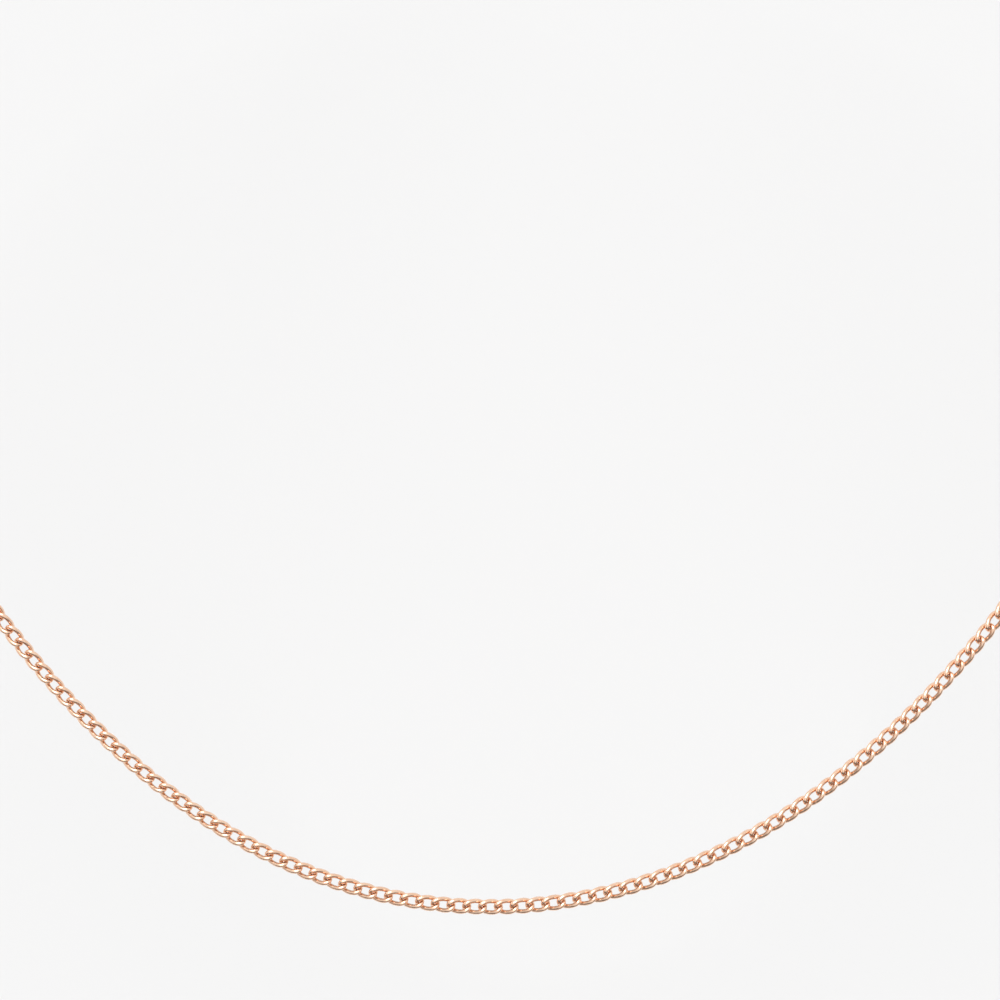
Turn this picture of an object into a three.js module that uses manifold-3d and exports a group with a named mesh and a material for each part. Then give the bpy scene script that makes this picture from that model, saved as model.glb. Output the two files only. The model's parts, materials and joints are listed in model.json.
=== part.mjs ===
// A curb chain necklace, laid flat in an open loop with its lobster clasp undone.
// Millimetres, +Z up. The bottom of the loop points to -Y. The origin is the middle of the
// bounding box's base. Every link is a twisted oval of round wire. Four neighbouring links make
// one rigid run, and each run hinges on the next one where their end links hook together.
import * as THREE from "three";
import { mergeVertices } from "three/addons/utils/BufferGeometryUtils.js";
import Module from "manifold-3d";

const wasm = await Module();
wasm.setup();

// ---- driving dimensions -------------------------------------------------------------------
// the curb link
const WIRE = 0.48; // side of a square that stands for 0.57 mm round wire
const PITCH = 2.0; // from one link's middle to the next one's
const LINK_HALF_WIDTH = 0.75; // on the wire's centre line
const LINK_HALF_LENGTH = (PITCH + WIRE) / 2; // on the wire's centre line
const OVALNESS = 2.8; // exponent of the link's outline: 2 is an ellipse, more is squarer
const END_TWIST = THREE.MathUtils.degToRad(-50); // how far a link's right end is turned
const BARS = 8; // straight stretches of wire in one link
const WIRE_SIDES = 4; // the CAD wire is square
const CLOSE_UP = 0.06; // links inside a run overlap by this much, which makes the run one piece

// the chain
const LINKS_PER_RUN = 4;
const RUNS_PER_SIDE = 26; // beside the run at the bottom of the loop
const LINK_SHIFT = -0.95; // how far the middle of the bottom run lies along from the lowest point

// the line that the chain lies in: a hanging chain's curve at the bottom, round sides above it
const BOTTOM_RADIUS = 62; // bending radius at the lowest point
const SKEW = -5.75e-6; // cubic term, 1/mm2: one side climbs a little sooner than the other
const RISE = 2.84e-7; // quartic term, 1/mm3: the curve steepens away from the lowest point
const CURVE_HALF_WIDTH = 64; // the hanging curve's reach to either side
const SIDE_RADIUS = 68; // bending radius of the round sides
const STEP = 0.02; // step along the line when it is measured out
const SPARE_RUNS = 3; // how much further the line is measured, for the rings and the clasp

// Everything is level: this is the height of the middle of the links, rings and clasp. The
// clasp and the rings, which are thicker than the chain, stand on z = 0.
const MIDDLE_HEIGHT = 1.12;

// how far a run turns on the next one, either way
const BEND = 12; // degrees, in the plane of the chain, about Z
const FOLD = 20; // degrees, out of that plane

// the rings at the chain's ends; they lean so that they can pass through a flat link
const RING_WIRE = 0.42;
const RING_WIRE_SIDES = 6;
const RING_SIDES = 18;
const JUMP_RING = { radius: 1.2, lean: -47, beyond: 0.86, aside: 0.05 };
const END_RING = { radius: 1.6, lean: 33, beyond: 1.3, aside: 0.1 };

// the lobster clasp, along its own line from the eye's middle, u, and across it, v
const CLASP_THICKNESS = 2 * MIDDLE_HEIGHT;
const CHEEK = 0.6; // wall above and below the slot that the trigger swings in
const EYE = { hole: 0.9, rim: 1.4, thickness: 0.7, slack: 0.1 };
const CLAW = { u: 5.9, v: 0.1, inner: 1.45, outer: 2.5, tip: -40, heel: 210, shoulder: 140 };
const BACK = { u: 0.75, bulge: 1.2, dip: -1.5 }; // the rounded end beside the eye
const FLANK = { topU: 1.5, topV: 1.45, lowU: 1.6, lowV: -1.7, lowEndU: 4.0, lowEndV: -1.95 };
const SLOT = { from: 1.25, to: 4.95, reach: 4 };
const PIVOT = { u: 3.1, v: -0.95, radius: 0.34 };
const RUNNING_GAP = 0.06; // between the rivet and the trigger that turns on it
const RIVET_GAP = 0.01; // between the rivet and the body
const TRIGGER_GAP = 0.1; // above and below the trigger, in the slot
const TRIGGER_ROUND = 0.45; // how far the trigger's corners are rounded
const SPRING_GAP = 0.15; // above and below the leaf spring, in the slot
const BAR = { nose: 6.92, top: -1.0, low: -1.9, lowU: 6.4, heelU: 2.3, heelV: -1.7 };
const LEVER = { back: 2.35, front: 3.15, tipU: 2.75, tipV: 2.5, neckU: 3.5, shoulder: 1.9 };
const ARC_SEGMENTS = 10; // straight stretches in each arc of the clasp
const RIVET_SIDES = 16;
const SPRING = { baseU: 1.3, baseV: -1.2, tipU: 1.82, tipV: -0.12, strip: 0.15 };

const WELD = 1e-5; // corners closer than this are one corner

const gold = { color: 0xe3a784, metalness: 1, roughness: 0.22 };
const steel = { color: 0xb9b6b2, metalness: 1, roughness: 0.35 };

// ---- solids -------------------------------------------------------------------------------
function solidFrom(geometry) {
  const bare = geometry.clone();
  bare.deleteAttribute("normal");
  bare.deleteAttribute("uv");
  const merged = mergeVertices(bare, WELD);
  const vertProperties = merged.attributes.position.array;
  const triVerts = new Uint32Array(merged.index.array);
  return new wasm.Manifold(new wasm.Mesh({ numProp: 3, vertProperties, triVerts }));
}

function geometryFrom(solid) {
  const mesh = solid.getMesh();
  const geometry = new THREE.BufferGeometry();
  const positions = new Float32Array(mesh.numVert * 3);
  for (let i = 0; i < mesh.numVert; i++) {
    positions.set(mesh.vertProperties.subarray(i * mesh.numProp, i * mesh.numProp + 3), i * 3);
  }
  geometry.setAttribute("position", new THREE.BufferAttribute(positions, 3));
  geometry.setIndex(new THREE.BufferAttribute(new Uint32Array(mesh.triVerts), 1));
  geometry.computeVertexNormals();
  return geometry;
}

function meshOf(name, geometry, look) {
  const mesh = new THREE.Mesh(geometry, new THREE.MeshStandardMaterial(look));
  mesh.name = name;
  return mesh;
}

// ---- one curb link ------------------------------------------------------------------------
// The link's wire runs round an oval that is twisted about its long axis: flat in the middle,
// and turned by END_TWIST one way at the right end and the other way at the left end, so that
// it crosses its neighbours' wire at a right angle.
function rounded(value) {
  return Math.sign(value) * Math.abs(value) ** (2 / OVALNESS);
}

class LinkLine extends THREE.Curve {
  getPoint(t, target = new THREE.Vector3()) {
    const turn = (Math.round(t * BARS) + 0.5) * ((2 * Math.PI) / BARS);
    const corner = rounded(Math.cos(Math.PI / BARS)); // keeps the bars, not the corners, on size
    const along = rounded(Math.cos(turn)) / corner;
    const across = (LINK_HALF_WIDTH * rounded(Math.sin(turn))) / corner;
    const twist = END_TWIST * along;
    return target.set(
      LINK_HALF_LENGTH * along,
      across * Math.cos(twist),
      across * Math.sin(twist),
    );
  }

  getPointAt(u, target) {
    return this.getPoint(u, target);
  }

  // square wire with its flats facing in and out of the link
  computeFrenetFrames(segments) {
    const frames = { tangents: [], normals: [], binormals: [] };
    for (let i = 0; i <= segments; i++) {
      const here = this.getPoint(i / segments);
      const after = this.getPoint(((i + 1) % segments) / segments);
      const before = this.getPoint(((i - 1 + segments) % segments) / segments);
      const tangent = after.sub(before).normalize();
      const outward = here.clone().addScaledVector(tangent, -here.dot(tangent)).normalize();
      const side = new THREE.Vector3().crossVectors(tangent, outward);
      frames.tangents.push(tangent);
      frames.normals.push(outward.clone().add(side).normalize());
      frames.binormals.push(side.clone().sub(outward).normalize());
    }
    return frames;
  }
}

function linkGeometry() {
  return new THREE.TubeGeometry(new LinkLine(), BARS, WIRE / Math.SQRT2, WIRE_SIDES, true);
}

// ---- the line that the chain lies in --------------------------------------------------------
// Measured out from the lowest point to either side: place, and heading towards +X, by length.
function measureSide(side) {
  const length = LINKS_PER_RUN * PITCH * (RUNS_PER_SIDE + SPARE_RUNS);
  const samples = [];
  let x = 0;
  let y = 0;
  let climb = 0;
  let onCurve = true;
  for (let s = 0; s <= length; s += STEP) {
    onCurve = onCurve && Math.abs(x) < CURVE_HALF_WIDTH;
    if (onCurve) {
      climb = Math.atan(side * (x / BOTTOM_RADIUS + 3 * SKEW * x ** 2 + 4 * RISE * x ** 3));
    } else {
      climb += STEP / SIDE_RADIUS;
    }
    samples.push({ x, y, heading: side * climb });
    x += side * Math.cos(climb) * STEP;
    y += Math.sin(climb) * STEP;
  }
  return samples;
}

const line = { left: measureSide(-1), right: measureSide(1) };

function placeAt(s) {
  const samples = s < 0 ? line.left : line.right;
  return samples[Math.round(Math.abs(s) / STEP)];
}

function matrixAt(s) {
  const { x, y, heading } = placeAt(s);
  return new THREE.Matrix4().makeRotationZ(heading).setPosition(x, y, MIDDLE_HEIGHT);
}

// ---- runs of links --------------------------------------------------------------------------
// A run's links are set close enough to fuse, and that leaves play where two runs hook together.
function runGeometry(middle, frame) {
  const back = frame.clone().invert();
  const pitch = PITCH + CLOSE_UP;
  let run = null;
  for (let i = 0; i < LINKS_PER_RUN; i++) {
    const s = middle + (i - (LINKS_PER_RUN - 1) / 2) * pitch;
    const link = linkGeometry().applyMatrix4(matrixAt(s)).applyMatrix4(back);
    const solid = solidFrom(link);
    run = run ? run.add(solid) : solid;
  }
  return geometryFrom(run);
}

function addRun(name, middle) {
  const frame = matrixAt(middle);
  const mesh = meshOf(name, runGeometry(middle, frame), gold);
  frame.decompose(mesh.position, mesh.quaternion, mesh.scale);
  necklace.add(mesh);
  return mesh;
}

// A hinge is kept with the piece that it moves: the piece it turns on, its point, axis and range.
function hingeAt(matrix, parent, axis, range) {
  const point = new THREE.Vector3().setFromMatrixPosition(matrix);
  return { parent, point, axis: axis.clone().transformDirection(matrix), range };
}

// Runs bend in the chain's plane and fold out of it by turns. The signs go +, -, -, + so that
// with every hinge at the same limit the chain waves about its line instead of coiling up.
function runHinge(number, s, parent) {
  const bends = number % 2 === 1;
  const sign = [1, -1, -1, 1][Math.floor((number - 1) / 2) % 4];
  const axis = bends ? new THREE.Vector3(0, 0, sign) : new THREE.Vector3(0, sign, 0);
  const limit = bends ? BEND : FOLD;
  return hingeAt(matrixAt(s), parent, axis, [-limit, limit]);
}

function addBranch(side, label) {
  for (let i = 1; i <= RUNS_PER_SIDE; i++) {
    const name = nameOfRun(label, i);
    const parent = i === 1 ? "links_bottom" : nameOfRun(label, i - 1);
    const run = addRun(name, LINK_SHIFT + side * i * RUN);
    run.userData.hinge = runHinge(i, LINK_SHIFT + side * (i - 0.5) * RUN, parent);
  }
}

function nameOfRun(label, number) {
  return "links_" + label + "_" + String(number).padStart(2, "0");
}

// ---- rings ----------------------------------------------------------------------------------
function addRing(name, ring, joint, side) {
  const frame = matrixAt(joint + side * ring.beyond);
  frame.multiply(new THREE.Matrix4().makeTranslation(0, ring.aside, 0));
  frame.multiply(new THREE.Matrix4().makeRotationX(THREE.MathUtils.degToRad(ring.lean)));
  const wire = RING_WIRE / 2;
  const torus = new THREE.TorusGeometry(ring.radius, wire, RING_WIRE_SIDES, RING_SIDES);
  const mesh = meshOf(name, torus, gold);
  frame.decompose(mesh.position, mesh.quaternion, mesh.scale);
  necklace.add(mesh);
  return mesh;
}

// ---- lobster clasp --------------------------------------------------------------------------
function slab(shape, bottom, thickness) {
  const geometry = new THREE.ExtrudeGeometry(shape, {
    depth: thickness,
    bevelEnabled: false,
    curveSegments: ARC_SEGMENTS,
  });
  return geometry.translate(0, 0, bottom);
}

function disc(u, v, radius) {
  return new THREE.Shape().absarc(u, v, radius, 0, 2 * Math.PI, false);
}

function hole(u, v, radius) {
  return new THREE.Path().absarc(u, v, radius, 0, 2 * Math.PI, true);
}

function claspBody() {
  const rad = THREE.MathUtils.degToRad;
  const { u, v, inner, outer } = CLAW;
  const outline = new THREE.Shape();
  outline.absarc(u, v, outer, rad(CLAW.tip), rad(CLAW.shoulder), false);
  outline.lineTo(FLANK.topU, FLANK.topV);
  outline.quadraticCurveTo(BACK.u, BACK.bulge, BACK.u, 0);
  outline.quadraticCurveTo(BACK.u, BACK.dip, FLANK.lowU, FLANK.lowV);
  outline.lineTo(FLANK.lowEndU, FLANK.lowEndV);
  outline.absarc(u, v, inner, rad(CLAW.heel), rad(CLAW.tip), true);
  const eye = disc(0, 0, EYE.rim);
  eye.holes.push(hole(0, 0, EYE.hole));
  const slot = new THREE.Shape([
    new THREE.Vector2(SLOT.from, -SLOT.reach),
    new THREE.Vector2(SLOT.to, -SLOT.reach),
    new THREE.Vector2(SLOT.to, SLOT.reach),
    new THREE.Vector2(SLOT.from, SLOT.reach),
  ]);
  const rivetHole = disc(PIVOT.u, PIVOT.v, PIVOT.radius + RIVET_GAP);
  const clear = 2 * CLASP_THICKNESS; // long enough to cut right through
  const eyeBottom = (CLASP_THICKNESS - EYE.thickness) / 2;
  return solidFrom(slab(outline, 0, CLASP_THICKNESS))
    .subtract(solidFrom(slab(slot, CHEEK, CLASP_THICKNESS - 2 * CHEEK)))
    .subtract(solidFrom(slab(disc(0, 0, EYE.hole), -CLASP_THICKNESS / 2, clear)))
    .subtract(solidFrom(slab(rivetHole, -CLASP_THICKNESS / 2, clear)))
    .add(solidFrom(slab(eye, eyeBottom, EYE.thickness)));
}

// A bar that shuts the claw's mouth, and a lever that stands out of the slot for a fingernail.
function trigger() {
  const round = TRIGGER_ROUND;
  const outline = new THREE.Shape();
  outline.moveTo(BAR.heelU + round / 2, BAR.heelV);
  outline.lineTo(BAR.lowU, BAR.low);
  outline.quadraticCurveTo(BAR.nose, BAR.low, BAR.nose, BAR.low + round);
  outline.lineTo(BAR.nose, BAR.top);
  outline.lineTo(CLAW.u - CLAW.inner, BAR.top);
  outline.quadraticCurveTo(LEVER.neckU + round / 2, BAR.top, LEVER.neckU, 0);
  outline.lineTo(LEVER.front, LEVER.shoulder);
  outline.quadraticCurveTo(LEVER.front, LEVER.tipV, LEVER.tipU, LEVER.tipV);
  outline.quadraticCurveTo(LEVER.back, LEVER.tipV, LEVER.back, LEVER.shoulder);
  outline.lineTo(BAR.heelU, BAR.heelV + round);
  outline.quadraticCurveTo(BAR.heelU, BAR.heelV, BAR.heelU + round / 2, BAR.heelV);
  outline.holes.push(hole(PIVOT.u, PIVOT.v, PIVOT.radius + RUNNING_GAP));
  const bottom = CHEEK + TRIGGER_GAP;
  return slab(outline, bottom, CLASP_THICKNESS - 2 * bottom);
}

function rivet() {
  const { radius } = PIVOT;
  const pin = new THREE.CylinderGeometry(radius, radius, CLASP_THICKNESS, RIVET_SIDES);
  return pin.rotateX(Math.PI / 2).translate(PIVOT.u, PIVOT.v, CLASP_THICKNESS / 2);
}

// A bent leaf behind the trigger, drawn as the open trigger presses it.
function triggerSpring() {
  const { baseU, baseV, tipU, tipV, strip } = SPRING;
  const leaf = new THREE.Shape();
  leaf.moveTo(baseU, baseV);
  leaf.quadraticCurveTo(baseU + strip, tipV - strip, tipU, tipV);
  leaf.lineTo(tipU + strip / 2, tipV - strip / 2);
  leaf.quadraticCurveTo(baseU + 2 * strip, tipV - 2 * strip, baseU + strip, baseV);
  const bottom = CHEEK + SPRING_GAP;
  return slab(leaf, bottom, CLASP_THICKNESS - 2 * bottom);
}

// ---- assembly -------------------------------------------------------------------------------
const necklace = new THREE.Group();
const RUN = LINKS_PER_RUN * PITCH;
const LEFT_END = LINK_SHIFT - (RUNS_PER_SIDE + 0.5) * RUN;
const RIGHT_END = LINK_SHIFT + (RUNS_PER_SIDE + 0.5) * RUN;
const RING_SWING = 25; // degrees that a ring turns in its link, either way
const CLASP_SWING = 20; // degrees that the clasp turns on its ring, either way
const TRIGGER_TRAVEL = 20; // degrees that the trigger opens

addRun("links_bottom", LINK_SHIFT);
addBranch(-1, "left");
addBranch(1, "right");

const jumpRing = addRing("jump_ring", JUMP_RING, LEFT_END, -1);
const endRing = addRing("end_ring", END_RING, RIGHT_END, 1);
const across = new THREE.Vector3(0, 1, 0);
const ringSwing = [-RING_SWING, RING_SWING];
const lastLeft = nameOfRun("left", RUNS_PER_SIDE);
const lastRight = nameOfRun("right", RUNS_PER_SIDE);
jumpRing.userData.hinge = hingeAt(matrixAt(LEFT_END), lastLeft, across, ringSwing);
endRing.userData.hinge = hingeAt(matrixAt(RIGHT_END), lastRight, across, ringSwing);

const clasp = new THREE.Group();
const claspBodyMesh = meshOf("clasp_body", geometryFrom(claspBody()), gold);
const triggerMesh = meshOf("clasp_trigger", trigger(), gold);
clasp.add(claspBodyMesh, triggerMesh);
clasp.add(meshOf("clasp_rivet", rivet(), gold));
clasp.add(meshOf("clasp_spring", triggerSpring(), steel));
const ringFarSide = matrixAt(LEFT_END - JUMP_RING.beyond - JUMP_RING.radius);
const eyeMiddle = matrixAt(LEFT_END - JUMP_RING.beyond - JUMP_RING.radius - EYE.slack);
eyeMiddle.multiply(new THREE.Matrix4().makeTranslation(0, JUMP_RING.aside, -MIDDLE_HEIGHT));
eyeMiddle.multiply(new THREE.Matrix4().makeRotationZ(Math.PI)); // the clasp points away
eyeMiddle.decompose(clasp.position, clasp.quaternion, clasp.scale);
necklace.add(clasp);

const up = new THREE.Vector3(0, 0, 1);
claspBodyMesh.userData.hinge = hingeAt(ringFarSide, "jump_ring", up, [-CLASP_SWING, CLASP_SWING]);
const pivot = eyeMiddle.clone().multiply(new THREE.Matrix4().makeTranslation(PIVOT.u, PIVOT.v, 0));
triggerMesh.userData.hinge = hingeAt(pivot, "clasp_body", up, [0, TRIGGER_TRAVEL]);

// the origin: the middle of the bounding box's base
const box = new THREE.Box3().setFromObject(necklace, true);
necklace.position.set(-(box.min.x + box.max.x) / 2, -(box.min.y + box.max.y) / 2, -box.min.z);

const part = new THREE.Group();
part.add(necklace);
export default part;
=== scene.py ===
import json
import math
import random

import bpy
import numpy as np
from mathutils import Matrix, Vector

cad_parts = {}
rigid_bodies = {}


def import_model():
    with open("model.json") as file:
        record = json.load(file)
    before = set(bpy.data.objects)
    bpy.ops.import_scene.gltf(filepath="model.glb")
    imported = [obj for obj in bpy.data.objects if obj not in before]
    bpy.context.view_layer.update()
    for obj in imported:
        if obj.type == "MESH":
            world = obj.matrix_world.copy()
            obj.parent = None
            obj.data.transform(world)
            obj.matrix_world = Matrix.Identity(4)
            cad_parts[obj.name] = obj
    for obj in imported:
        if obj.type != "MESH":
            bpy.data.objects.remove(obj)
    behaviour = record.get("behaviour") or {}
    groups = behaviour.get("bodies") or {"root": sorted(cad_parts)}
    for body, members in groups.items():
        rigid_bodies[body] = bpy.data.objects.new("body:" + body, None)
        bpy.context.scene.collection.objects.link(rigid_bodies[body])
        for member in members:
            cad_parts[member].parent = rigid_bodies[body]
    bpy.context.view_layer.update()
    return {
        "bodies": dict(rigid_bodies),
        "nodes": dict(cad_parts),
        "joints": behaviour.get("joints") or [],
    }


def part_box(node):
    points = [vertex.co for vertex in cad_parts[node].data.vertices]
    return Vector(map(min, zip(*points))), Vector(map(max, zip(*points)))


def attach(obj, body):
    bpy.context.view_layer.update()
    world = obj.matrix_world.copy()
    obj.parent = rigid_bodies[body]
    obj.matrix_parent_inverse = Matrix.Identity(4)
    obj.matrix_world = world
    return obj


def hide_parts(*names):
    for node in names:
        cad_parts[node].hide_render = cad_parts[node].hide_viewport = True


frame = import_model()

MM = 0.001

# ---- driving values, in millimetres and radians ---------------------------------------------------
# the curb link
WIRE = 0.57  # diameter of the round wire
LINKS_PER_RUN = 4
LINK_HALF_WIDTH = 0.72  # on the wire's centre line
OUTLINE_POWER = 3.2  # 2 would be an ellipse, more is squarer
END_TWIST = math.radians(-54)  # how far a link's right end is turned
LINK_SLACK = 0.05  # how far two hooked links can be pushed together
LINK_STEPS = 56  # stretches of wire round a link
WIRE_SIDES = 14
LINK_PLAY = math.radians(3.0)  # how far a link lies off its neighbours' twist, at most
LINK_YAW = math.radians(1.0)  # how far a link lies off the chain's line, at most
PLAY_SEED = 12

# the rings
RING_SEAM = 0.05  # the gap where a ring's two ends meet
END_RING_SHIFT = (-0.044, 0.091, 0.020)  # clears the last link's wire at both ends of its swing
RING_STEPS = 72
RING_WIRE_SIDES = 16
JUMP_RING_SEAM_AT = 0.8  # where on the ring its seam lies
END_RING_SEAM_AT = 2.4
RING_EDGE = math.radians(50)  # sharper edges than this are shaded as edges

# the clasp
BODY_VOXEL = 0.042
TRIGGER_VOXEL = 0.036
POLISHING = 20  # passes that round the cast pieces' edges
CAST_FACES_KEPT = 0.35
RIVET_DOME = 0.05
RIVET_DOME_STEPS = 6
RIVET_SIDES = 28
RIVET_EDGE = math.radians(40)

# the metals' colours, and the least and most roughness on each
PALE_GOLD = (0.99, 0.70, 0.52)
DEEP_GOLD = (0.95, 0.62, 0.44)
# painted shade: the darker colour on the inward side of the link and ring wires, for the shade and
# dark reflections between the wires
INNER_SHADE_GOLD = (0.64, 0.40, 0.27)
EDGE_TINT = (1.0, 0.92, 0.85)
PALE_STEEL = (0.52, 0.51, 0.5)
DARK_STEEL = (0.32, 0.31, 0.3)
BLACK = (0.0, 0.0, 0.0)
WHITE = (1.0, 1.0, 1.0)
INNER_SHADE_FROM = 0.42  # share of the turn from the outward side to the inward one: the painted inner shade begins here and is full at the next value
INNER_SHADE_TO = 0.92
WIRE_ROUGHNESS = (0.14, 0.28)
CAST_ROUGHNESS = (0.12, 0.30)
STEEL_ROUGHNESS = (0.22, 0.42)
WIRE_SCRATCHES = 0.10  # strength of the bump
CAST_SCRATCHES = 0.16
SCRATCH_DEPTH = 0.00002  # metres

# the noises that the metals' looks are made of: their scales, per metre
CLOUDS = 900.0
DULL_SPOTS = 2600.0
HAIRLINES = (900.0, 9000.0, 9000.0)
HAIRLINE_TILT = (0.3, 0.5, 0.7)
STEEL_GRAIN = (1500.0, 12000.0, 1500.0)
CLOUD_RANGE = (0.36, 0.64)  # the noise's values that become the deep and the pale colour
DULL_RANGE = (0.36, 0.66)
GRAIN_RANGE = (0.3, 0.7)
PIECE_SHIFT = (0.031, 0.017, 0.023)  # the most that a piece's noise is moved, in metres

# the studio
FLOOR_DROP = 62  # far enough under the chain for every pose
FLOOR_SIZE = 9000
VIEW_WIDTH = 126.69  # what the camera sees across, at the chain
VIEW_SHIFT_X = 1.24  # of the view's middle from the lowest point of the chain
VIEW_SHIFT_Y = 51.54
LENS = 100
FLOOR_GREY = 0.70
FLOOR_ROUGHNESS = 0.9
FLOOR_SPECULAR = 0.1
WORLD_LEVEL = 1.0
KEY_FROM = (-0.3, 1.6, 2.0)
KEY_SPREAD = math.radians(44)
KEY_POWER = 2.2
# How dark the surroundings are, by height (0 level, 1 overhead) and by how far back (0 in front
# of the chain, 1 behind it). The two are multiplied.
DARK_BY_HEIGHT = [(0.0, 0.5), (0.08, 1.0), (0.6, 1.0), (0.8, 0.0)]
DARK_BY_DEPTH = [(0.0, 0.84), (0.3, 0.80), (0.42, 0.25), (0.5, 0.14)]


# ---- the line that the chain lies in ------------------------------------------------------------
# The hinges between the runs of links lie on it, so it is read off the frame.
def hinge_point(name):
    joint = next(j for j in frame["joints"] if j["name"].startswith(name))
    return Vector(joint["pos_m"])


def chain_points():
    """The ends of the runs, from the clasp round to the end ring."""
    joints = [j["name"] for j in frame["joints"]]
    left = sorted((n for n in joints if n.startswith("link_left")), reverse=True)
    right = sorted(n for n in joints if n.startswith("link_right"))
    return [hinge_point(n) for n in ["jump_ring", *left, *right, "end_ring"]]


def run_names():
    """The bodies of the runs, in the same order."""
    left = sorted((b for b in frame["bodies"] if b.startswith("links_left")), reverse=True)
    right = sorted(b for b in frame["bodies"] if b.startswith("links_right"))
    return [*left, "links_bottom", *right]


def headings(points):
    """The line's direction at each of the points."""
    chords = [b - a for a, b in zip(points, points[1:])]
    turned = [math.atan2(c.y, c.x) for c in chords]
    turned = list(np.unwrap(turned))
    inner = [(a + b) / 2 for a, b in zip(turned, turned[1:])]
    first = turned[0] - (inner[0] - turned[0])
    last = turned[-1] + (turned[-1] - inner[-1])
    return [first, *inner, last]


def between(a, b, heading_a, heading_b, u):
    """A point and heading on the smooth curve from a to b, at share u of the way."""
    length = (b - a).length
    out = Vector((math.cos(heading_a), math.sin(heading_a), 0)) * length
    into = Vector((math.cos(heading_b), math.sin(heading_b), 0)) * length
    place = (
        a * (2 * u**3 - 3 * u**2 + 1)
        + out * (u**3 - 2 * u**2 + u)
        + b * (3 * u**2 - 2 * u**3)
        + into * (u**3 - u**2)
    )
    return place, heading_a + (heading_b - heading_a) * u


# ---- materials ------------------------------------------------------------------------------------
def new_material(name):
    material = bpy.data.materials.new(name)
    material.use_nodes = True
    return material, material.node_tree, material.node_tree.nodes["Principled BSDF"]


def node(tree, kind, **values):
    made = tree.nodes.new("ShaderNode" + kind)
    for key, value in values.items():
        if hasattr(made, key):
            setattr(made, key, value)
        else:
            made.inputs[key.replace("_", " ")].default_value = value
    return made


def ramp(tree, source, stops):
    """A colour ramp with a stop at each (place, colour)."""
    stops = list(stops)
    made = tree.nodes.new("ShaderNodeValToRGB")
    elements = made.color_ramp.elements
    while len(elements) < len(stops):
        elements.new(0.5)
    for element, (position, colour) in zip(elements, stops):
        element.position = position
        element.color = (*colour, 1)
    tree.links.new(source, made.inputs["Fac"])
    return made.outputs["Color"]


def object_points(tree, per_piece=True):
    """Object coordinates, shifted by a different amount on each piece."""
    place = node(tree, "TexCoord")
    if not per_piece:
        return place.outputs["Object"]
    info = node(tree, "ObjectInfo")
    shift = node(tree, "VectorMath", operation="SCALE")
    shift.inputs[0].default_value = PIECE_SHIFT
    tree.links.new(info.outputs["Random"], shift.inputs["Scale"])
    add = node(tree, "VectorMath", operation="ADD")
    tree.links.new(place.outputs["Object"], add.inputs[0])
    tree.links.new(shift.outputs[0], add.inputs[1])
    return add.outputs[0]


def from_range(tree, low, high, least, most):
    """A node that turns the values low to high into least to most."""
    made = node(tree, "MapRange")
    made.inputs["From Min"].default_value = low
    made.inputs["From Max"].default_value = high
    made.inputs["To Min"].default_value = least
    made.inputs["To Max"].default_value = most
    return made


def polished_gold(name, roughness, scratches, inner=None):
    """Polished rose gold: cloudy tone, hairline scratches and dull spots. With an inner colour,
    the side of the wire that faces the middle of its link or ring is darker: painted shade,
    standing in for the shade and dark reflections between the wires."""
    material, tree, shader = new_material(name)
    shader.inputs["Metallic"].default_value = 1.0
    points = object_points(tree)

    clouds = node(tree, "TexNoise", Scale=CLOUDS, Detail=3.0, Roughness=0.55)
    tree.links.new(points, clouds.inputs["Vector"])
    tone = ramp(tree, clouds.outputs["Fac"], zip(CLOUD_RANGE, (DEEP_GOLD, PALE_GOLD)))
    # painted shade: the inward side of the wire is mixed toward the darker inner colour
    if inner:
        facing_in = node(tree, "Attribute", attribute_name="inward")
        share = ramp(tree, facing_in.outputs["Fac"], [(INNER_SHADE_FROM, BLACK), (INNER_SHADE_TO, WHITE)])
        both = node(tree, "MixRGB")
        tree.links.new(share, both.inputs["Fac"])
        tree.links.new(tone, both.inputs["Color1"])
        both.inputs["Color2"].default_value = (*inner, 1)
        tone = both.outputs["Color"]
    tree.links.new(tone, shader.inputs["Base Color"])
    shader.inputs["Specular Tint"].default_value = (*EDGE_TINT, 1)

    stretch = node(tree, "Mapping")
    stretch.inputs["Scale"].default_value = HAIRLINES
    stretch.inputs["Rotation"].default_value = HAIRLINE_TILT
    tree.links.new(points, stretch.inputs["Vector"])
    hairlines = node(tree, "TexNoise", Scale=1.0, Detail=2.0, Roughness=0.6)
    tree.links.new(stretch.outputs[0], hairlines.inputs["Vector"])

    dull = node(tree, "TexNoise", Scale=DULL_SPOTS, Detail=4.0, Roughness=0.6)
    tree.links.new(points, dull.inputs["Vector"])
    blend = node(tree, "Math", operation="MULTIPLY_ADD")
    tree.links.new(hairlines.outputs["Fac"], blend.inputs[0])
    blend.inputs[1].default_value = 0.5
    half = node(tree, "Math", operation="MULTIPLY")
    tree.links.new(dull.outputs["Fac"], half.inputs[0])
    half.inputs[1].default_value = 0.5
    tree.links.new(half.outputs[0], blend.inputs[2])
    spread = from_range(tree, *DULL_RANGE, *roughness)
    tree.links.new(blend.outputs[0], spread.inputs["Value"])
    tree.links.new(spread.outputs[0], shader.inputs["Roughness"])

    bump = node(tree, "Bump", Strength=scratches, Distance=SCRATCH_DEPTH)
    tree.links.new(hairlines.outputs["Fac"], bump.inputs["Height"])
    tree.links.new(bump.outputs[0], shader.inputs["Normal"])
    return material


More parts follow.
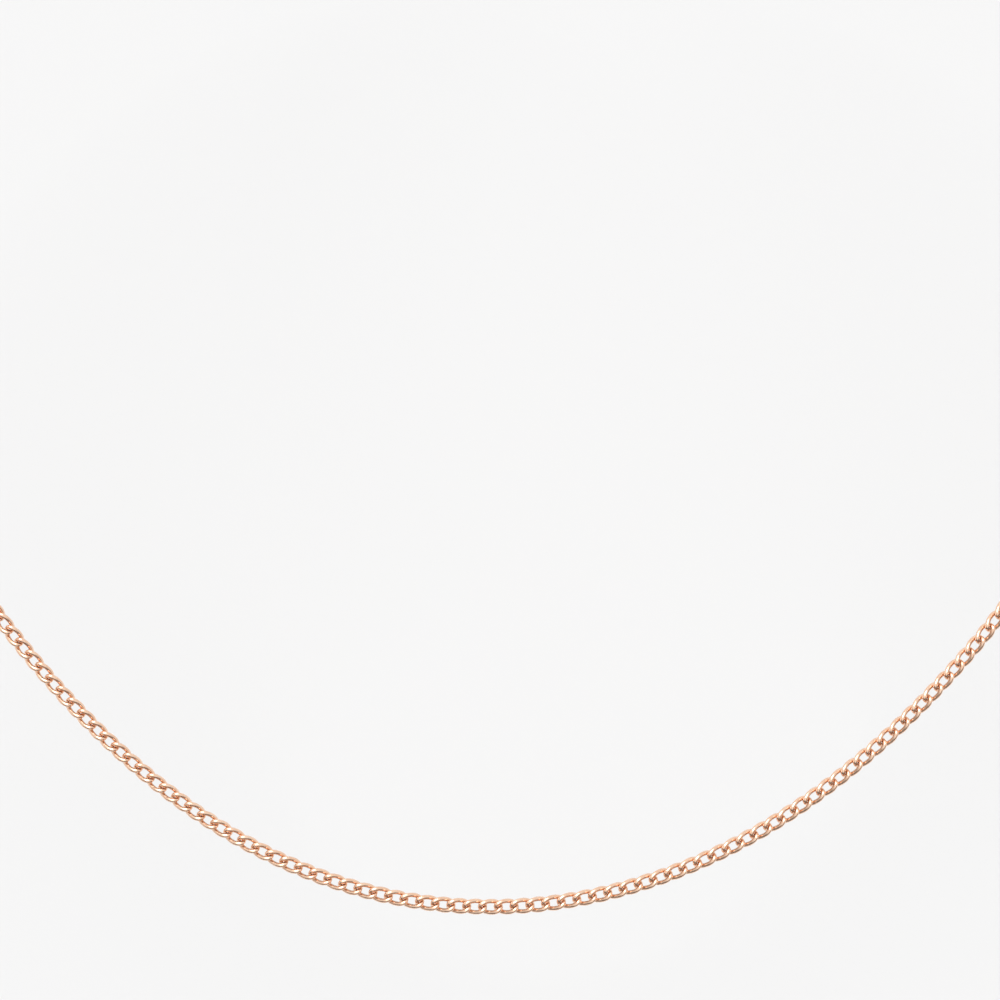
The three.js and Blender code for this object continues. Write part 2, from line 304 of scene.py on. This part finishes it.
def spring_steel():
    material, tree, shader = new_material("spring_steel")
    shader.inputs["Metallic"].default_value = 1.0
    points = object_points(tree, per_piece=False)
    stretch = node(tree, "Mapping")
    stretch.inputs["Scale"].default_value = STEEL_GRAIN
    tree.links.new(points, stretch.inputs["Vector"])
    grain = node(tree, "TexNoise", Scale=1.0, Detail=3.0)
    tree.links.new(stretch.outputs[0], grain.inputs["Vector"])
    tone = ramp(tree, grain.outputs["Fac"], zip(GRAIN_RANGE, (DARK_STEEL, PALE_STEEL)))
    tree.links.new(tone, shader.inputs["Base Color"])
    spread = from_range(tree, 0.0, 1.0, *STEEL_ROUGHNESS)
    tree.links.new(grain.outputs["Fac"], spread.inputs["Value"])
    tree.links.new(spread.outputs[0], shader.inputs["Roughness"])
    return material


# the wire gold carries the painted inner shade, on the links and on the rings
LINK_GOLD = polished_gold("rose_gold_wire_painted_inner_shade", WIRE_ROUGHNESS, WIRE_SCRATCHES, INNER_SHADE_GOLD)
CAST_GOLD = polished_gold("rose_gold_cast", CAST_ROUGHNESS, CAST_SCRATCHES)
STEEL = spring_steel()


# ---- meshes ---------------------------------------------------------------------------------------
def swept(name, centres, radius, sides, closed=True):
    """Round wire along the given centre line, carried round without twisting. Its attribute
    "inward" goes from 0 on the side that faces out of the link or ring to 1 on the other side."""
    count = len(centres)
    following = np.roll(centres, -1, axis=0)
    before = np.roll(centres, 1, axis=0)
    tangents = following - before
    if not closed:
        tangents[0] = centres[1] - centres[0]
        tangents[-1] = centres[-1] - centres[-2]
    tangents /= np.linalg.norm(tangents, axis=1)[:, None]
    middle = centres.mean(axis=0)
    turn = np.linspace(0, 2 * math.pi, sides, endpoint=False)[:, None]
    rings = []
    for centre, tangent in zip(centres, tangents):
        outward = centre - middle
        outward = outward - tangent * outward.dot(tangent)
        outward /= np.linalg.norm(outward)
        side = np.cross(tangent, outward)
        rings.append(centre + radius * (np.cos(turn) * outward + np.sin(turn) * side))
    vertices = np.concatenate(rings)
    faces = []
    for i in range(count if closed else count - 1):
        j = (i + 1) % count
        for k in range(sides):
            m = (k + 1) % sides
            faces.append((i * sides + k, j * sides + k, j * sides + m, i * sides + m))
    if not closed:
        faces.append(tuple(range(sides)))
        faces.append(tuple(reversed(range((count - 1) * sides, count * sides))))
    mesh = bpy.data.meshes.new(name)
    mesh.from_pydata([tuple(v) for v in vertices], [], faces)
    mesh.shade_smooth()
    inward = mesh.attributes.new("inward", "FLOAT", "POINT")
    share = (1 - np.cos(turn[:, 0])) / 2
    inward.data.foreach_set("value", np.tile(share, count).astype(np.float32))
    return mesh


def placed(name, mesh, matrix, body, material):
    piece = bpy.data.objects.new(name, mesh)
    bpy.context.scene.collection.objects.link(piece)
    piece.matrix_world = matrix
    if material:
        piece.data.materials.clear()
        piece.data.materials.append(material)
    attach(piece, body)
    return piece


# ---- links ----------------------------------------------------------------------------------------
def link_mesh(pitch):
    """A superellipse of wire, turned END_TWIST one way at one end and the other way at the other."""
    half_length = (pitch + WIRE + LINK_SLACK) / 2
    turn = np.linspace(0, 2 * math.pi, LINK_STEPS, endpoint=False)
    power = 2 / OUTLINE_POWER
    along = np.sign(np.cos(turn)) * np.abs(np.cos(turn)) ** power
    across = np.sign(np.sin(turn)) * np.abs(np.sin(turn)) ** power * LINK_HALF_WIDTH
    twist = END_TWIST * along
    line = np.c_[half_length * along, across * np.cos(twist), across * np.sin(twist)]
    return swept("curb_link", evened(line) * MM, WIRE / 2 * MM, WIRE_SIDES)


def evened(line):
    """The same closed line with its points spread evenly along it."""
    closed = np.vstack([line, line[:1]])
    steps = np.linalg.norm(np.diff(closed, axis=0), axis=1)
    length = np.concatenate([[0], np.cumsum(steps)])
    wanted = np.linspace(0, length[-1], len(line), endpoint=False)
    return np.stack([np.interp(wanted, length, closed[:, k]) for k in range(3)], axis=1)


def build_links():
    points = chain_points()
    directions = headings(points)
    pitch = sum((b - a).length for a, b in zip(points, points[1:])) / MM
    pitch /= LINKS_PER_RUN * (len(points) - 1)
    mesh = link_mesh(pitch)
    mesh.materials.append(LINK_GOLD)
    chance = random.Random(PLAY_SEED)
    number = 0
    for k, body in enumerate(run_names()):
        ends = (points[k], points[k + 1], directions[k], directions[k + 1])
        for i in range(LINKS_PER_RUN):
            number += 1
            place, heading = between(*ends, (i + 0.5) / LINKS_PER_RUN)
            play = 1 if 0 < i < LINKS_PER_RUN - 1 else 0  # none beside a hinge: it needs the room
            yaw = heading + play * chance.uniform(-LINK_YAW, LINK_YAW)
            roll = play * chance.uniform(-LINK_PLAY, LINK_PLAY)
            turn = Matrix.Rotation(yaw, 4, "Z") @ Matrix.Rotation(roll, 4, "X")
            matrix = Matrix.Translation(place) @ turn
            link = placed(f"link_{number:03d}", mesh, matrix, body, None)
            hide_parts(body)


# ---- rings ----------------------------------------------------------------------------------------
def ring_facts(name):
    """Centre, axis, radius and wire radius of the CAD ring."""
    points = np.array([v.co for v in frame["nodes"][name].data.vertices], float)
    low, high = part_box(name)
    centre = np.array((low + high) / 2)
    axis = np.linalg.svd(points - centre, full_matrices=False)[2][2]
    axis *= np.sign(axis[2])
    height = (points - centre) @ axis
    reach = np.linalg.norm(points - centre - height[:, None] * axis, axis=1)
    wire = (reach.max() - reach.min()) / 2
    return Vector(centre), Vector(axis), (reach.max() + reach.min()) / 2, wire


def build_ring(name, seam_angle, shift=(0, 0, 0)):
    centre, axis, radius, wire = ring_facts(name)
    centre += Vector(shift) * MM
    open_angle = RING_SEAM * MM / radius
    turn = np.linspace(open_angle / 2, 2 * math.pi - open_angle / 2, RING_STEPS)
    line = np.c_[np.cos(turn), np.sin(turn), np.zeros(RING_STEPS)] * radius
    mesh = swept(name + "_wire", line, wire, RING_WIRE_SIDES, closed=False)
    facing = axis.to_track_quat("Z", "Y").to_matrix().to_4x4()
    mesh.transform(facing @ Matrix.Rotation(seam_angle, 4, "Z"))
    ring = placed(name + "_wire", mesh, Matrix.Translation(centre), name, LINK_GOLD)
    ring.data.set_sharp_from_angle(angle=RING_EDGE)
    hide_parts(name)


# ---- clasp ----------------------------------------------------------------------------------------
def polished_copy(name, voxel):
    """The CAD node as a casting: the same shape with its edges rounded by polishing."""
    piece = bpy.data.objects.new(name + "_cast", frame["nodes"][name].data.copy())
    bpy.context.scene.collection.objects.link(piece)
    remesh = piece.modifiers.new("cast", "REMESH")
    remesh.mode = "VOXEL"
    remesh.voxel_size = voxel * MM
    smooth = piece.modifiers.new("polish", "SMOOTH")
    smooth.iterations = POLISHING
    lighter = piece.modifiers.new("lighter", "DECIMATE")
    lighter.ratio = CAST_FACES_KEPT
    bpy.context.view_layer.update()
    graph = bpy.context.evaluated_depsgraph_get()
    piece.data = bpy.data.meshes.new_from_object(piece.evaluated_get(graph))
    piece.data.name = name + "_cast"
    piece.data.shade_smooth()
    piece.modifiers.clear()
    piece.data.materials.clear()
    piece.data.materials.append(CAST_GOLD)
    return piece


def build_clasp():
    for name, voxel in [("clasp_body", BODY_VOXEL), ("clasp_trigger", TRIGGER_VOXEL)]:
        piece = polished_copy(name, voxel)
        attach(piece, name)
        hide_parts(name)
    build_rivet()
    spring = frame["nodes"]["clasp_spring"]
    spring.data.materials.clear()
    spring.data.materials.append(STEEL)


def build_rivet():
    """The pin with a low dome on each end."""
    low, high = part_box("clasp_rivet")
    radius = (high.x - low.x) / 2
    height = (high.z - low.z) / 2
    dome = RIVET_DOME * MM
    profile = [
        (radius * math.cos(a), height + dome * math.sin(a))
        for a in np.linspace(math.pi / 2, 0, RIVET_DOME_STEPS)
    ]
    profile += [(r, -z) for r, z in reversed(profile)]
    sides = RIVET_SIDES
    vertices = []
    for r, z in profile[1:-1]:
        for k in range(sides):
            angle = 2 * math.pi * k / sides
            vertices.append((r * math.cos(angle), r * math.sin(angle), z))
    rings = len(profile) - 2
    faces = []
    for i in range(rings - 1):
        for k in range(sides):
            m = (k + 1) % sides
            faces.append((i * sides + k, (i + 1) * sides + k, (i + 1) * sides + m, i * sides + m))
    top, bottom = len(vertices), len(vertices) + 1
    vertices += [(0, 0, height + dome), (0, 0, -height - dome)]
    for k in range(sides):
        m = (k + 1) % sides
        faces.append((top, k, m))
        last = (rings - 1) * sides
        faces.append((bottom, last + m, last + k))
    mesh = bpy.data.meshes.new("clasp_rivet_pin")
    mesh.from_pydata(vertices, [], faces)
    mesh.shade_smooth()
    centre = Matrix.Translation((low + high) / 2)
    rivet = placed("clasp_rivet_pin", mesh, centre, "clasp_body", CAST_GOLD)
    rivet.data.set_sharp_from_angle(angle=RIVET_EDGE)
    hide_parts("clasp_rivet")


# ---- studio ---------------------------------------------------------------------------------------
def build_floor():
    half = FLOOR_SIZE / 2 * MM
    corners = [(-half, -half, 0), (half, -half, 0), (half, half, 0), (-half, half, 0)]
    mesh = bpy.data.meshes.new("floor")
    mesh.from_pydata(corners, [], [(0, 1, 2, 3)])
    floor = bpy.data.objects.new("floor", mesh)
    bpy.context.scene.collection.objects.link(floor)
    floor.location.z = -FLOOR_DROP * MM
    material, tree, shader = new_material("floor_paper")
    shader.inputs["Base Color"].default_value = (FLOOR_GREY, FLOOR_GREY, FLOOR_GREY, 1)
    shader.inputs["Roughness"].default_value = FLOOR_ROUGHNESS
    shader.inputs["Specular IOR Level"].default_value = FLOOR_SPECULAR
    mesh.materials.append(material)


def build_key():
    """A broad soft light from behind and above, the same all over the floor."""
    data = bpy.data.lights.new("key", "SUN")
    data.energy = KEY_POWER
    data.angle = KEY_SPREAD
    light = bpy.data.objects.new("key", data)
    bpy.context.scene.collection.objects.link(light)
    light.location = KEY_FROM
    light.rotation_euler = (-Vector(KEY_FROM)).to_track_quat("-Z", "Y").to_euler()


def greys(stops):
    return [(place, (level, level, level)) for place, level in stops]


def build_world():
    """White all round, but for a darker low part on the front side, for the metal to reflect."""
    world = bpy.data.worlds.new("studio")
    bpy.context.scene.world = world
    world.use_nodes = True
    tree = world.node_tree
    background = tree.nodes["Background"]
    place = node(tree, "TexCoord")
    apart = node(tree, "SeparateXYZ")
    tree.links.new(place.outputs["Generated"], apart.inputs[0])
    low = ramp(tree, apart.outputs["Z"], greys(DARK_BY_HEIGHT))
    across = from_range(tree, -1.0, 1.0, 0.0, 1.0)
    tree.links.new(apart.outputs["Y"], across.inputs["Value"])
    front = ramp(tree, across.outputs[0], greys(DARK_BY_DEPTH))
    dark = node(tree, "MixRGB", blend_type="MULTIPLY")
    dark.inputs["Fac"].default_value = 1.0
    tree.links.new(low, dark.inputs["Color1"])
    tree.links.new(front, dark.inputs["Color2"])
    light = node(tree, "Invert")
    tree.links.new(dark.outputs["Color"], light.inputs["Color"])
    tree.links.new(light.outputs["Color"], background.inputs["Color"])
    background.inputs["Strength"].default_value = WORLD_LEVEL


def lowest_point():
    """Of the wires' centre line: where its heading passes through zero."""
    points = chain_points()
    directions = headings(points)
    k = next(i for i, turned in enumerate(directions) if turned > 0) - 1
    u = -directions[k] / (directions[k + 1] - directions[k])
    place, _ = between(points[k], points[k + 1], directions[k], directions[k + 1], u)
    return place


def build_camera():
    data = bpy.data.cameras.new("camera")
    data.lens = LENS
    distance = VIEW_WIDTH * MM * LENS / data.sensor_width
    camera = bpy.data.objects.new("camera", data)
    bpy.context.scene.collection.objects.link(camera)
    camera.location = lowest_point() + Vector((VIEW_SHIFT_X * MM, VIEW_SHIFT_Y * MM, distance))
    bpy.context.scene.camera = camera


build_links()
build_ring("jump_ring", JUMP_RING_SEAM_AT)
build_ring("end_ring", END_RING_SEAM_AT, END_RING_SHIFT)
build_clasp()
build_floor()
build_world()
build_key()
build_camera()
bpy.context.scene.view_settings.view_transform = "Standard"
